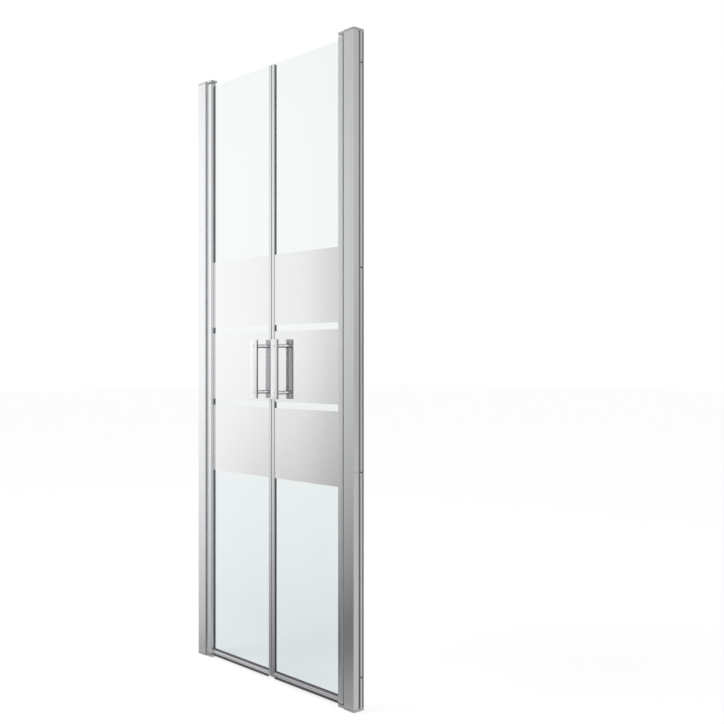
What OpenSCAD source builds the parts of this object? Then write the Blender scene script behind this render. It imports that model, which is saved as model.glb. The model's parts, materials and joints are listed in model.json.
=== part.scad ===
// Double-leaf swing shower door for a niche.
// Two glass leaves swing both ways on pivot pins between two wall profiles.
// Frame: X runs to the right, Y runs into the shower, Z up from the tray.
// The origin is at floor level, in the middle of the glass plane.
// Every shape is drawn for the right-hand half. The left half is its mirror image.

/* [Door] */
// Overall width between the two walls
door_w = 800; // [700:1:1000]
// Overall height from the tray
door_h = 1950; // [1850:1:2100]
// Gap between the two closed leaves
leaf_gap = 0.6; // [0.4:0.1:3]

/* [Wall profile] */
// Depth of the wall profile, front to back
wall_profile_depth = 38.5; // [38:0.5:50]
// Width of its front face
wall_profile_w = 43; // [38:0.5:46]
// Distance of its front face from the middle of the glass
wall_profile_front = 15.5; // [15:0.1:16.5]
// Wall thickness of the aluminium extrusions
wall_t = 1.5; // [1.2:0.1:2]
// Width of the flat band along the front of the wall side
band_w = 16; // [12:0.5:18]
// Depth of the two long grooves in the wall side
groove_depth = 4; // [2:0.5:4.5]
// Width of the rib that the wall screws go through
screw_rib_w = 7; // [6.5:0.5:9]
// Distance of the wall screws behind the front face
screw_setback = 29.5; // [28:0.5:30]
// Diameter of the wall screw holes
wall_hole_d = 5.5; // [4:0.5:6]
// Number of wall screw holes in each profile
wall_hole_count = 4; // [3:1:5]
// Distance of the first and last wall screw hole from the ends of the door
wall_hole_end = 96; // [60:1:150]
// Diameter of the two small drain holes in the wall side
drain_hole_d = 3; // [2:0.5:3.5]
// Height of the drain holes
drain_hole_z = 683; // [300:1:1200]

/* [Adjusting profile] */
// Sliding clearance of the adjusting profile inside the wall profile
slide_gap = 0.2; // [0.1:0.05:0.4]
// Length that the adjusting profile reaches into the wall profile
adjust_len = 33; // [30:1:36]
// Width of the concave nose beside the turning profile, front to back
nose_w = 18; // [14:1:20]
// Outer diameter of the screw ports for the bracket screws
port_d = 7; // [6:0.5:8]
// Number of clamp screws on each side
clamp_count = 3; // [2:1:4]
// Distance of the first and last clamp screw from the ends of the door
clamp_end = 200; // [150:1:300]
// Shank diameter of the clamp screws
clamp_d = 4; // [3:0.5:5]
// Travel that the clamp slot allows for a wall that isn't plumb
clamp_slot = 8; // [4:1:10]
// Height of the clamp nut
nut_h = 3; // [2:0.5:4]
// Width of the foot of the seal in the groove on the shower side
seal_foot_w = 6; // [4:0.5:7]

/* [Brackets and pivots] */
// Thickness of the top bracket
top_bracket_t = 7.5; // [7:0.5:10]
// Thickness of the bottom bracket
bottom_bracket_t = 9; // [8:0.5:12]
// Space between the turning profile and the top bracket
top_space = 5; // [4:0.5:8]
// Space between the turning profile and the bottom bracket
bottom_space = 3; // [2:0.5:5]
// Diameter of the pivot pins
pin_d = 6; // [5:0.5:6]
// Length of the pivot pin inside its bush
pin_reach = 18; // [12:1:24]
// Depth of the pivot pin in its bracket
pin_seat = 6; // [4:0.5:6.5]
// Outer diameter of the bushes
bush_d = 9; // [8.5:0.5:9.5]
// Outer diameter of the bush flange
bush_flange_d = 12; // [11:0.5:12.5]
// Radial running clearance of the pin in its bush
running_gap = 0.05; // [0.03:0.01:0.1]
// Shank diameter of the bracket screws
bracket_screw_d = 3.5; // [3:0.5:4]
// Length of the bracket screws in their screw ports
bracket_screw_grip = 14; // [10:1:18]

/* [Turning profile] */
// Width of the turning profile, seen from the front
turn_w = 20; // [19:0.5:22]
// Depth of the turning profile, front to back
turn_depth = 24; // [22:0.5:25]
// Width of the open groove between the turning profile and the wall profile
turn_groove = 10.5; // [9:0.5:14]
// Distance of the pivot axis from the wall side of the turning profile
axis_inset = 6.5; // [6.5:0.1:7]
// Corner radius of the turning profile
turn_r = 2; // [1:0.5:3]
// Clearance of the turning profile's corners in the concave nose
swing_gap = 0.5; // [0.4:0.1:1]

/* [Glass] */
// Thickness of the glass
pane_t = 6; // [5:0.5:6.5]
// Distance of the glass top below the top of the door
pane_top_drop = 20; // [18:0.5:30]
// Distance of the bushes from the lining of the glass edge
bush_clear = 0.2; // [0.2:0.1:0.5]
// Thickness of the dark lining round the glass edges
lining_t = 0.7; // [0.5:0.1:0.8]
// Clearance of the lining in its slot
lining_gap = 0.1; // [0.05:0.05:0.15]

/* [Mirror bands] */
// Thickness of the mirror coating on the front of the glass
coat_t = 0.3; // [0.2:0.1:0.5]
// Height of the lower edge of the lowest mirror band
mirror_z = 634; // [500:1:700]
// Height of one mirror band
mirror_h = 219.6; // [200:0.1:230]
// Height of the clear stripe between two mirror bands
clear_h = 20; // [10:0.5:30]
// Number of mirror bands
mirror_count = 3; // [3:1:4]
// Distance of the coating from the frame pieces beside it
coat_margin = 0.2; // [0.1:0.1:1]

/* [Meeting edge] */
// Width of the meeting profile on each leaf
meet_w = 14; // [13:0.5:18]
// Depth of the meeting profile, front to back
meet_depth = 11; // [10:0.5:16]
// Distance that the magnet strip stands out of the meeting profile
magnet_proud = 1.2; // [0.8:0.1:1.5]
// Width of the magnet strip, along X
magnet_w = 4; // [3:0.5:4]
// Depth of the magnet strip, along Y
magnet_depth = 6.6; // [5:0.1:7]
// Height of the meeting profile's lower end above the tray
meet_bottom = 10; // [8:0.5:11]

/* [Bottom rail] */
// Height of the rail's lower edge above the tray
rail_bottom = 12; // [11:0.5:14]
// Height of the rail
rail_h = 12; // [11:0.5:14]
// Depth of the rail, front to back
rail_depth = 12; // [11:0.5:14]
// Radius of the rail's four long edges
rail_r = 1.5; // [0.5:0.5:1.5]
// Height of the dark lining that shows above the rail
lining_show = 5; // [2:0.5:8]
// Height of the seal's lower edge above the tray
seal_bottom = 6.5; // [5:0.5:7]
// Height of the slot that holds the seal
seal_slot_h = 3.5; // [3:0.5:4]
// Depth of the slot that holds the seal, front to back
seal_slot_depth = 7; // [6:0.5:8]
// Thickness of the end caps of the rail
cap_t = 1.6; // [1:0.1:2]

/* [Handles] */
// Distance of the handle axis from the middle of the door
handle_x = 53; // [45:1:80]
// Distance of the middle of the handles below the middle of the mirror bands
handle_drop = 8.4; // [0:0.1:20]
// Width of the handle bar
bar_w = 32; // [28:1:40]
// Thickness of the handle bar
bar_t = 5; // [4:0.5:8]
// Length of the handle bar
bar_len = 186; // [170:1:220]
// Corner radius of the handle bar
bar_r = 3; // [1:0.5:6]
// Distance between the two posts of a handle
post_pitch = 145; // [120:1:165]
// Diameter of the handle posts
post_d = 12; // [11:0.5:16]
// Distance from the glass to the outer face of the handle bar
handle_reach = 32; // [28:0.5:45]
// Thickness of the washers between the posts and the glass
washer_t = 1; // [0.5:0.1:2]
// Diameter of the handle holes in the glass
pane_hole_d = 10; // [9.5:0.5:10.5]
// Diameter of the threaded studs through the glass
stud_d = 6; // [5:0.5:7]
// Depth of the stud in each post
stud_reach = 10; // [8:0.5:12]
// Head diameter of the bar screws
bar_screw_head_d = 7; // [6:0.5:7.5]
// Head height of the bar screws
bar_screw_head_h = 2; // [1.5:0.5:2.5]
// Shank diameter of the bar screws
bar_screw_d = 4; // [3:0.5:4]

/* [Hidden] */
$fn = 48;

// Extra length of a cutting shape past the face that it opens
cut = 1;
// Clearance between pieces that are pushed into each other
fit_gap = 0.1;
// Radial clearance of a pressed pin or of a screw in its hole
press_gap = 0.02;
// Gap between the bottom bush and the bracket that carries it
thrust_gap = 0.3;
// Depth of the hexagonal sockets in the screw heads, and their width over the corners
socket_h = 1.2;
socket_d = 3.4;

// Wall profile and adjusting profile
wall_x = door_w / 2;
profile_lip_x = wall_x - wall_profile_w;
profile_front_y = -wall_profile_front;
profile_back_y = wall_profile_depth - wall_profile_front;
profile_bottom = bottom_bracket_t;
profile_top = door_h - top_bracket_t;
wall_hole_pitch = (door_h - 2 * wall_hole_end) / (wall_hole_count - 1);
clamp_pitch = (door_h - 2 * clamp_end) / (clamp_count - 1);
web_x = wall_x - groove_depth - wall_t;
rib_front_y = profile_front_y + screw_setback - screw_rib_w / 2;
rib_back_y = rib_front_y + screw_rib_w;
slider_front_y = profile_front_y + wall_t + slide_gap;
slider_back_y = profile_back_y - wall_t - slide_gap;

// Turning profile and pivot axis
turn_wall_x = profile_lip_x - turn_groove;
turn_inner_x = turn_wall_x - turn_w;
axis_x = turn_wall_x - axis_inset;
turn_bottom = bottom_bracket_t + bottom_space;
turn_top = door_h - top_bracket_t - top_space;
// Largest distance of the turning profile's section from the pivot axis
swing_r = norm([turn_w - axis_inset - turn_r, turn_depth / 2 - turn_r]) + turn_r;
nose_r = swing_r + swing_gap;
nose_web_x = axis_x + nose_r + slide_gap;
slider_end_x = profile_lip_x + adjust_len;
port_x = nose_web_x + wall_t + port_d / 2 - fit_gap;
port_front_y = slider_front_y + wall_t + port_d / 2 - fit_gap;
port_back_y = slider_back_y - wall_t - port_d / 2 + fit_gap;
port_hole_d = bracket_screw_d + 2 * press_gap;

// Glass pane
lining_w = lining_t + lining_gap;
pane_slot = pane_t + 2 * lining_t + 2 * lining_gap;
pane_outer_x = axis_x - bush_d / 2 - bush_clear - lining_w - lining_gap;
pane_top = door_h - pane_top_drop;
meet_x = leaf_gap / 2;
meet_end_x = meet_x + meet_w;
meet_face_x = meet_x + magnet_proud;
pane_inner_x = meet_x + magnet_w + fit_gap + wall_t + lining_gap + lining_w;
// Web of the rail between the seal slot and the glass slot
rail_web_top = rail_bottom + seal_slot_h + wall_t;
pane_bottom = rail_web_top + lining_w + lining_gap;
rail_top = rail_bottom + rail_h;
rail_start_x = meet_end_x + fit_gap + cap_t;
rail_end_x = turn_inner_x - fit_gap - cap_t;
// The seal stops where the corner of the bottom bracket would touch it on the way
seal_end_x = axis_x - nose_r;

// Mirror bands and handles
mirror_step = mirror_h + clear_h;
handle_z = mirror_z + (mirror_count * mirror_step - clear_h) / 2 - handle_drop;
bar_back = handle_reach - bar_t;
post_hole_d = stud_d + 2 * press_gap;
// Length of the bar screws inside the posts
screw_reach = 8;
// Clearance of the washer collar, both in the glass hole and round the stud
collar_gap = 0.15;

// Colours
aluminium = [0.82, 0.83, 0.84];
bracket_grey = [0.62, 0.63, 0.64];
steel = [0.80, 0.80, 0.82];
chrome = [0.88, 0.88, 0.90];
lining_black = [0.16, 0.15, 0.17];
seal_grey = [0.40, 0.41, 0.42];
plastic_grey = [0.70, 0.70, 0.70];
glass_tint = [0.83, 0.93, 0.92, 0.45];
mirror_tint = [0.90, 0.90, 0.91];

// Helpers

// A flat shape drawn in X and Y, raised from one height to another
module rise(bottom, top) {
    translate([0, 0, bottom]) linear_extrude(top - bottom) children();
}

// A rectangle from one corner to the other
module area(from, to) {
    translate(from) square(to - from);
}

// A rectangle with round corners
module round_area(from, to, r) {
    for (x = [from[0] + r, to[0] - r], y = [from[1] + r, to[1] - r]) translate([x, y]) circle(r);
    area([from[0] + r, from[1]], [to[0] - r, to[1]]);
    area([from[0], from[1] + r], [to[0], to[1] - r]);
}

// The left half of the door is the mirror image of the right half
module left_half() {
    mirror([1, 0, 0]) children();
}

// Wall side pieces, drawn for the right-hand side

module wall_profile_section() {
    difference() {
        area([profile_lip_x, profile_front_y], [wall_x, profile_back_y]);
        // Channel for the adjusting profile
        area([profile_lip_x - cut, profile_front_y + wall_t], [web_x, profile_back_y - wall_t]);
        // Hollow behind the flat band
        area([web_x - cut, profile_front_y + wall_t],
             [wall_x - wall_t, profile_front_y + band_w - wall_t]);
        // The two long grooves in the wall side
        area([wall_x - groove_depth, profile_front_y + band_w], [wall_x + cut, rib_front_y]);
        area([wall_x - groove_depth, rib_back_y], [wall_x + cut, profile_back_y - wall_t]);
    }
}

module wall_profile() {
    color(aluminium) difference() {
        rise(profile_bottom, profile_top) wall_profile_section();
        for (i = [0 : wall_hole_count - 1])
            translate([wall_x + cut, profile_front_y + screw_setback,
                       wall_hole_end + i * wall_hole_pitch])
                rotate([0, -90, 0]) cylinder(d = wall_hole_d, h = groove_depth + wall_t + 2 * cut);
        // Two small drain holes near the edges of the flat band
        for (y = [wall_t + drain_hole_d / 2, band_w - wall_t - drain_hole_d / 2])
            translate([wall_x + cut, profile_front_y + y, drain_hole_z])
                rotate([0, -90, 0]) cylinder(d = drain_hole_d, h = wall_t + 2 * cut);
        // Clamp screw holes through the rear flange
        clamp_places() translate([0, 0, -wall_t - cut])
            cylinder(d = clamp_d + 2 * fit_gap, h = wall_t + 2 * cut);
    }
}

// The clamp screws enter through the rear flange, along -Y
module clamp_places() {
    for (i = [0 : clamp_count - 1])
        translate([(nose_web_x + port_d + slider_end_x) / 2, profile_back_y, clamp_end + i * clamp_pitch])
            rotate([-90, 0, 0]) children();
}

module adjusting_profile_section() {
    difference() {
        union() {
            difference() {
                area([nose_web_x, slider_front_y], [slider_end_x, slider_back_y]);
                area([nose_web_x + wall_t, slider_front_y + wall_t],
                     [slider_end_x + cut, slider_back_y - wall_t]);
            }
            // Concave nose round the turning profile
            area([axis_x, -nose_w / 2], [nose_web_x + cut, nose_w / 2]);
            // Screw ports for the bracket screws
            for (y = [port_front_y, port_back_y]) translate([port_x, y]) circle(d = port_d);
        }
        translate([axis_x, 0]) circle(nose_r);
        for (y = [port_front_y, port_back_y]) translate([port_x, y]) circle(d = port_hole_d);
    }
}

module adjusting_profile() {
    color(aluminium) difference() {
        rise(profile_bottom, profile_top) adjusting_profile_section();
        // Slots that let the profile slide past the clamp screws
        clamp_places() for (shift = [-clamp_slot / 2, clamp_slot / 2])
            translate([shift, 0, -2 * wall_t - slide_gap - cut])
                cylinder(d = clamp_d + 2 * fit_gap, h = 2 * wall_t + slide_gap + cut);
        clamp_places()
            translate([-clamp_slot / 2, -clamp_d / 2 - fit_gap, -2 * wall_t - slide_gap - cut])
            cube([clamp_slot, clamp_d + 2 * fit_gap, 2 * wall_t + slide_gap + cut]);
    }
}

module clamp_screws() {
    color(steel) clamp_places() {
        translate([0, 0, -2 * wall_t - slide_gap - nut_h])
            cylinder(d = clamp_d, h = 2 * wall_t + slide_gap + nut_h);
        difference() {
            cylinder(d = 2 * clamp_d, h = clamp_d / 2);
            translate([0, 0, clamp_d / 2 - socket_h]) cylinder(d = socket_d, h = socket_h + cut, $fn = 6);
        }
    }
}

module clamp_nuts() {
    color(steel) clamp_places() translate([0, 0, -2 * wall_t - slide_gap - nut_h]) difference() {
        translate([-clamp_slot, -clamp_d, 0]) cube([2 * clamp_slot, 2 * clamp_d, nut_h]);
        translate([0, 0, -cut]) cylinder(d = clamp_d + 2 * press_gap, h = nut_h + 2 * cut);
    }
}

// Outline of both brackets: a cap over the profiles and an arm to the pivot axis
module bracket_outline() {
    area([profile_lip_x, profile_front_y], [wall_x, profile_back_y]);
    round_area([turn_inner_x, -turn_depth / 2], [profile_lip_x + turn_r, turn_depth / 2], turn_r);
}

// One bracket, drawn with its pivot face at z = 0 and its outer face at z = t
module bracket(t) {
    difference() {
        rise(0, t) bracket_outline();
        translate([axis_x, 0, -cut]) cylinder(d = pin_d + 2 * press_gap, h = pin_seat + cut);
        for (y = [port_front_y, port_back_y]) translate([port_x, y, 0]) {
            translate([0, 0, -cut]) cylinder(d = bracket_screw_d + 2 * fit_gap, h = t + 2 * cut);
            translate([0, 0, t - bracket_screw_d]) cylinder(d = 2 * bracket_screw_d + 2 * fit_gap, h = t);
        }
    }
}

module top_bracket() {
    color(bracket_grey) translate([0, 0, profile_top]) bracket(top_bracket_t);
}

module bottom_bracket() {
    color(bracket_grey) translate([0, 0, profile_bottom]) mirror([0, 0, 1]) bracket(bottom_bracket_t);
}

module pivot_pins() {
    color(steel) translate([axis_x, 0, 0]) {
        rise(profile_bottom - pin_seat, turn_bottom + pin_reach) circle(d = pin_d);
        rise(turn_top - pin_reach, profile_top + pin_seat) circle(d = pin_d);
    }
}

// One bracket screw with its head at the outer face of a bracket of thickness t
module bracket_screw(t) {
    translate([0, 0, -bracket_screw_grip])
        cylinder(d = bracket_screw_d, h = bracket_screw_grip + t - bracket_screw_d / 2);
    translate([0, 0, t - bracket_screw_d]) difference() {
        cylinder(d = 2 * bracket_screw_d, h = bracket_screw_d - fit_gap);
        translate([0, 0, bracket_screw_d - fit_gap - socket_h])
            cylinder(d = socket_d, h = socket_h + cut, $fn = 6);
    }
}

module bracket_screws() {
    color(steel) for (y = [port_front_y, port_back_y]) {
        translate([port_x, y, profile_top]) bracket_screw(top_bracket_t);
        translate([port_x, y, profile_bottom]) mirror([0, 0, 1]) bracket_screw(bottom_bracket_t);
    }
}

// Soft strip that closes the groove on the shower side
module pivot_seal() {
    foot_y = nose_w / 2 + 2 * wall_t;
    lip_x = axis_x + sqrt(pow(nose_r, 2) - pow(foot_y, 2));
    color(seal_grey) rise(turn_bottom, turn_top) polygon([
        [nose_web_x - fit_gap, foot_y], [nose_web_x - fit_gap, foot_y + seal_foot_w],
        [nose_web_x - wall_t - fit_gap, foot_y + seal_foot_w], [lip_x, foot_y + wall_t / 2], [lip_x, foot_y]
    ]);
}

// Leaf pieces, drawn for the right-hand leaf

module turning_profile_section() {
    chamber_inner_y = bush_d / 2 + wall_t;
    slot_end_x = pane_outer_x + lining_w + lining_gap;
    rear_inner_x = slot_end_x - wall_t;
    difference() {
        union() {
            difference() {
                round_area([turn_inner_x, -turn_depth / 2], [turn_wall_x, turn_depth / 2], turn_r);
                area([turn_inner_x - cut, 0], [rear_inner_x + turn_r, turn_depth / 2 + cut]);
            }
            // The rear half is narrower, with a thin flange behind the glass
            round_area([rear_inner_x, -turn_r], [turn_wall_x, turn_depth / 2], turn_r);
            area([turn_inner_x, -turn_r], [rear_inner_x + turn_r, pane_slot / 2 + wall_t]);
        }
        // Slot for the glass edge and its lining
        area([turn_inner_x - cut, -pane_slot / 2], [slot_end_x, pane_slot / 2]);
        // Round seat of the bushes on the pivot axis
        translate([axis_x, 0]) circle(d = bush_d + 2 * press_gap);
        // Hollow chambers in front of the glass and behind it
        round_area([turn_inner_x + wall_t, wall_t - turn_depth / 2],
                   [turn_wall_x - wall_t, -chamber_inner_y], turn_r / 2);
        round_area([rear_inner_x + wall_t, chamber_inner_y],
                   [turn_wall_x - wall_t, turn_depth / 2 - wall_t], turn_r / 2);
    }
}

module turning_profile() {
    color(aluminium) rise(turn_bottom, turn_top) turning_profile_section();
}

// One bush with its flange face at z = 0 and its body below
module bush() {
    flange_t = bottom_space - thrust_gap;
    difference() {
        union() {
            cylinder(d = bush_flange_d, h = flange_t);
            translate([0, 0, -pin_reach - cut]) cylinder(d = bush_d, h = pin_reach + 2 * cut);
        }
        translate([0, 0, -pin_reach - 2 * cut])
            cylinder(d = pin_d + 2 * running_gap, h = pin_reach + flange_t + 3 * cut);
    }
}

module hinge_bushes() {
    color(plastic_grey) translate([axis_x, 0, 0]) {
        translate([0, 0, turn_top]) bush();
        translate([0, 0, turn_bottom]) mirror([0, 0, 1]) bush();
    }
}

// Thin U round the glass edge in the turning profile
module hinge_lining() {
    color(lining_black) rise(pane_bottom, pane_top) difference() {
        area([turn_inner_x, -pane_t / 2 - lining_t], [pane_outer_x + lining_w, pane_t / 2 + lining_t]);
        area([turn_inner_x - cut, -pane_t / 2], [pane_outer_x + lining_gap, pane_t / 2]);
    }
}

// The two heights of the handle posts
module post_places() {
    for (z = [handle_z - post_pitch / 2, handle_z + post_pitch / 2]) translate([handle_x, 0, z]) children();
}

module glass_pane() {
    color(glass_tint) difference() {
        rise(pane_bottom, pane_top)
            area([pane_inner_x, -pane_t / 2], [pane_outer_x, pane_t / 2]);
        post_places() rotate([90, 0, 0]) cylinder(d = pane_hole_d, h = pane_t + 2 * cut, center = true);
    }
}

module mirror_bands() {
    color(mirror_tint) difference() {
        for (i = [0 : mirror_count - 1])
            rise(mirror_z + i * mirror_step, mirror_z + i * mirror_step + mirror_h)
                area([meet_end_x + coat_margin, -pane_t / 2 - coat_t],
                     [turn_inner_x - coat_margin, -pane_t / 2]);
        post_places() rotate([90, 0, 0]) cylinder(d = pane_hole_d, h = pane_t + 2 * cut, center = true);
    }
}

module meeting_profile() {
    color(aluminium) rise(meet_bottom, pane_top) difference() {
        round_area([meet_face_x, -meet_depth / 2], [meet_end_x, meet_depth / 2], turn_r / 2);
        area([pane_inner_x - lining_w - lining_gap, -pane_slot / 2], [meet_end_x + cut, pane_slot / 2]);
        // Channel for the magnet strip, open towards the other leaf
        area([meet_x, -magnet_depth / 2 - fit_gap],
             [meet_x + magnet_w + fit_gap, magnet_depth / 2 + fit_gap]);
    }
}

module meeting_lining() {
    color(lining_black) rise(pane_bottom, pane_top) difference() {
        area([pane_inner_x - lining_w, -pane_t / 2 - lining_t], [meet_end_x, pane_t / 2 + lining_t]);
        area([pane_inner_x - lining_gap, -pane_t / 2], [meet_end_x + cut, pane_t / 2]);
    }
}

module magnet_strip() {
    color(lining_black) rise(meet_bottom, pane_top)
        area([meet_x, -magnet_depth / 2], [meet_x + magnet_w, magnet_depth / 2]);
}

// A shape drawn in Y and Z, drawn out along X from one place to another
module along_x(from, to) {
    translate([from, 0, 0]) rotate([90, 0, 90]) linear_extrude(to - from) children();
}

module rail_section() {
    difference() {
        round_area([-rail_depth / 2, rail_bottom], [rail_depth / 2, rail_top], rail_r);
        area([-pane_slot / 2, rail_web_top], [pane_slot / 2, rail_top + cut]);
        area([-seal_slot_depth / 2, rail_bottom - cut], [seal_slot_depth / 2, rail_bottom + seal_slot_h]);
    }
}

module bottom_rail() {
    color(aluminium) along_x(rail_start_x, rail_end_x) rail_section();
}

module rail_lining() {
    color(lining_black) along_x(meet_end_x + fit_gap, turn_inner_x - fit_gap) difference() {
        area([-pane_t / 2 - lining_t, rail_web_top + lining_gap],
             [pane_t / 2 + lining_t, rail_top + lining_show]);
        area([-pane_t / 2, pane_bottom - lining_gap], [pane_t / 2, rail_top + lining_show + cut]);
    }
}

// Seal with a head in the rail and two lips towards the tray
module drip_seal() {
    head = seal_slot_depth / 2 - fit_gap;
    color(seal_grey) along_x(rail_start_x, seal_end_x) polygon([
        [-head, rail_bottom + seal_slot_h - fit_gap], [head, rail_bottom + seal_slot_h - fit_gap],
        [head, rail_bottom - fit_gap], [rail_depth / 2, rail_bottom - fit_gap - lining_t],
        [rail_depth / 2, seal_bottom], [rail_depth / 2 - wall_t, seal_bottom],
        [head - wall_t, rail_bottom - wall_t - lining_t],
        [-head + wall_t, rail_bottom - wall_t - lining_t], [-rail_depth / 2 + wall_t, seal_bottom],
        [-rail_depth / 2, seal_bottom], [-rail_depth / 2, rail_bottom - fit_gap - lining_t],
        [-head, rail_bottom - fit_gap]
    ]);
}

module rail_end_caps() {
    color(plastic_grey) for (x = [rail_start_x - cap_t, rail_end_x]) along_x(x, x + cap_t) difference() {
        round_area([-rail_depth / 2, rail_bottom], [rail_depth / 2, rail_top], rail_r);
        area([-pane_slot / 2, rail_web_top], [pane_slot / 2, rail_top + cut]);
    }
}

// Handle pieces. Each is drawn on the front side, and the rear side is its mirror image.

module rear_side() {
    mirror([0, 1, 0]) children();
}

// Flat bar with round corners, held by two screws in its face
module handle_bar() {
    color(chrome) difference() {
        translate([handle_x, -pane_t / 2 - bar_back, handle_z]) rotate([90, 0, 0])
            linear_extrude(bar_t) round_area([-bar_w / 2, -bar_len / 2], [bar_w / 2, bar_len / 2], bar_r);
        post_places() translate([0, -pane_t / 2 - handle_reach - cut, 0]) rotate([-90, 0, 0]) {
            cylinder(d = bar_screw_d + 2 * fit_gap, h = bar_t + 2 * cut);
            cylinder(d = bar_screw_head_d + 2 * fit_gap, h = cut + bar_screw_head_h);
        }
    }
}

// One pair of posts; seat is the thickness of what lies between the washer and the glass
module post_pair(seat) {
    foot = pane_t / 2 + seat + washer_t;
    post_places() rotate([90, 0, 0]) difference() {
        translate([0, 0, foot]) cylinder(d = post_d, h = pane_t / 2 + bar_back - foot);
        translate([0, 0, foot - cut]) cylinder(d = post_hole_d, h = stud_reach + 2 * cut);
        translate([0, 0, pane_t / 2 + bar_back - screw_reach])
            cylinder(d = bar_screw_d + 2 * press_gap, h = screw_reach + cut);
    }
}

module handle_posts() {
    color(chrome) post_pair(coat_t);
    color(chrome) rear_side() post_pair(0);
}

// One pair of washers, each with a collar inside the glass hole
module washer_pair(seat) {
    post_places() rotate([90, 0, 0]) difference() {
        union() {
            translate([0, 0, pane_t / 2 + seat]) cylinder(d = post_d, h = washer_t);
            translate([0, 0, collar_gap])
                cylinder(d = pane_hole_d - 2 * collar_gap, h = pane_t / 2 + seat);
        }
        translate([0, 0, -cut]) cylinder(d = stud_d + 2 * collar_gap, h = pane_t + seat + washer_t + 2 * cut);
    }
}

module handle_washers() {
    color(plastic_grey) washer_pair(coat_t);
    color(plastic_grey) rear_side() washer_pair(0);
}

module handle_studs() {
    half = pane_t / 2 + washer_t + stud_reach;
    color(steel) post_places() rotate([90, 0, 0]) cylinder(d = stud_d, h = 2 * half, center = true);
}

module screw_pair() {
    post_places() rotate([90, 0, 0]) translate([0, 0, pane_t / 2 + handle_reach]) {
        translate([0, 0, -bar_t - screw_reach + fit_gap])
            cylinder(d = bar_screw_d, h = bar_t + screw_reach - bar_screw_head_h);
        translate([0, 0, -bar_screw_head_h]) difference() {
            cylinder(d = bar_screw_head_d, h = bar_screw_head_h);
            translate([0, 0, bar_screw_head_h - socket_h]) cylinder(d = socket_d, h = socket_h + cut, $fn = 6);
        }
    }
}

module handle_screws() {
    color(steel) screw_pair();
    color(steel) rear_side() screw_pair();
}

// Left side of the frame
left_half() wall_profile();  // left_wall_profile
left_half() adjusting_profile();  // left_adjusting_profile
left_half() top_bracket();  // left_top_bracket
left_half() bottom_bracket();  // left_bottom_bracket
left_half() pivot_pins();  // left_pivot_pins
left_half() bracket_screws();  // left_bracket_screws
left_half() clamp_screws();  // left_clamp_screws
left_half() clamp_nuts();  // left_clamp_nuts
left_half() pivot_seal();  // left_pivot_seal
// Right side of the frame
wall_profile();  // right_wall_profile
adjusting_profile();  // right_adjusting_profile
top_bracket();  // right_top_bracket
bottom_bracket();  // right_bottom_bracket
pivot_pins();  // right_pivot_pins
bracket_screws();  // right_bracket_screws
clamp_screws();  // right_clamp_screws
clamp_nuts();  // right_clamp_nuts
pivot_seal();  // right_pivot_seal
// Left leaf
left_half() turning_profile();  // left_turning_profile
left_half() hinge_bushes();  // left_hinge_bushes
left_half() hinge_lining();  // left_hinge_lining
left_half() glass_pane();  // left_glass_pane
left_half() mirror_bands();  // left_mirror_bands
left_half() meeting_profile();  // left_meeting_profile
left_half() meeting_lining();  // left_meeting_lining
left_half() magnet_strip();  // left_magnet_strip
left_half() bottom_rail();  // left_bottom_rail
left_half() rail_lining();  // left_rail_lining
left_half() drip_seal();  // left_drip_seal
left_half() rail_end_caps();  // left_rail_end_caps
left_half() handle_bar();  // left_front_handle_bar
left_half() rear_side() handle_bar();  // left_rear_handle_bar
left_half() handle_posts();  // left_handle_posts
left_half() handle_washers();  // left_handle_washers
left_half() handle_studs();  // left_handle_studs
left_half() handle_screws();  // left_handle_screws
// Right leaf
turning_profile();  // right_turning_profile
hinge_bushes();  // right_hinge_bushes
hinge_lining();  // right_hinge_lining
glass_pane();  // right_glass_pane
mirror_bands();  // right_mirror_bands
meeting_profile();  // right_meeting_profile
meeting_lining();  // right_meeting_lining
magnet_strip();  // right_magnet_strip
bottom_rail();  // right_bottom_rail
rail_lining();  // right_rail_lining
drip_seal();  // right_drip_seal
rail_end_caps();  // right_rail_end_caps
handle_bar();  // right_front_handle_bar
rear_side() handle_bar();  // right_rear_handle_bar
handle_posts();  // right_handle_posts
handle_washers();  // right_handle_washers
handle_studs();  // right_handle_studs
handle_screws();  // right_handle_screws
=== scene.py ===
import json
import math

import bpy
from bpy.props import FloatProperty, FloatVectorProperty, PointerProperty
from mathutils import Matrix, Vector


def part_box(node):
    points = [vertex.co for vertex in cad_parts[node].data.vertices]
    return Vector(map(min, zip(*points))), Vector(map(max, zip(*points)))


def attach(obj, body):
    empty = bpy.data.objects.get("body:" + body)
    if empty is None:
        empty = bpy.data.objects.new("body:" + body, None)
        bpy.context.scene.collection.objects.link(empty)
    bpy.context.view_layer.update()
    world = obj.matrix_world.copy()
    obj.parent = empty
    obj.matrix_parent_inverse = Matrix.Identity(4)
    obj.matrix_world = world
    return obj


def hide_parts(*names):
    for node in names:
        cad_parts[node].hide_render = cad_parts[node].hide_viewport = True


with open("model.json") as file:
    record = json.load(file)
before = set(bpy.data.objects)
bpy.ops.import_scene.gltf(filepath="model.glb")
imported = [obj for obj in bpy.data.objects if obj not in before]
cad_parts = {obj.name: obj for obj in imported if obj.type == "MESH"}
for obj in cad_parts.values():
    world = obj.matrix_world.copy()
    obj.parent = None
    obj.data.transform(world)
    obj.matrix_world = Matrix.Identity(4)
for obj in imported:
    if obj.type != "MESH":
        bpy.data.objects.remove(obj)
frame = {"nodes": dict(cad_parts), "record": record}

bl_info = {
    "name": "Hinged shower door",
    "version": (1, 0, 0),
    "blender": (4, 5, 0),
    "location": "3D View > Sidebar > Shower door",
    "description": "Finishes, handles, bottom rails and studio for a two-leaf shower door",
    "category": "Object",
}

SIDES = ("left", "right")
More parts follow.
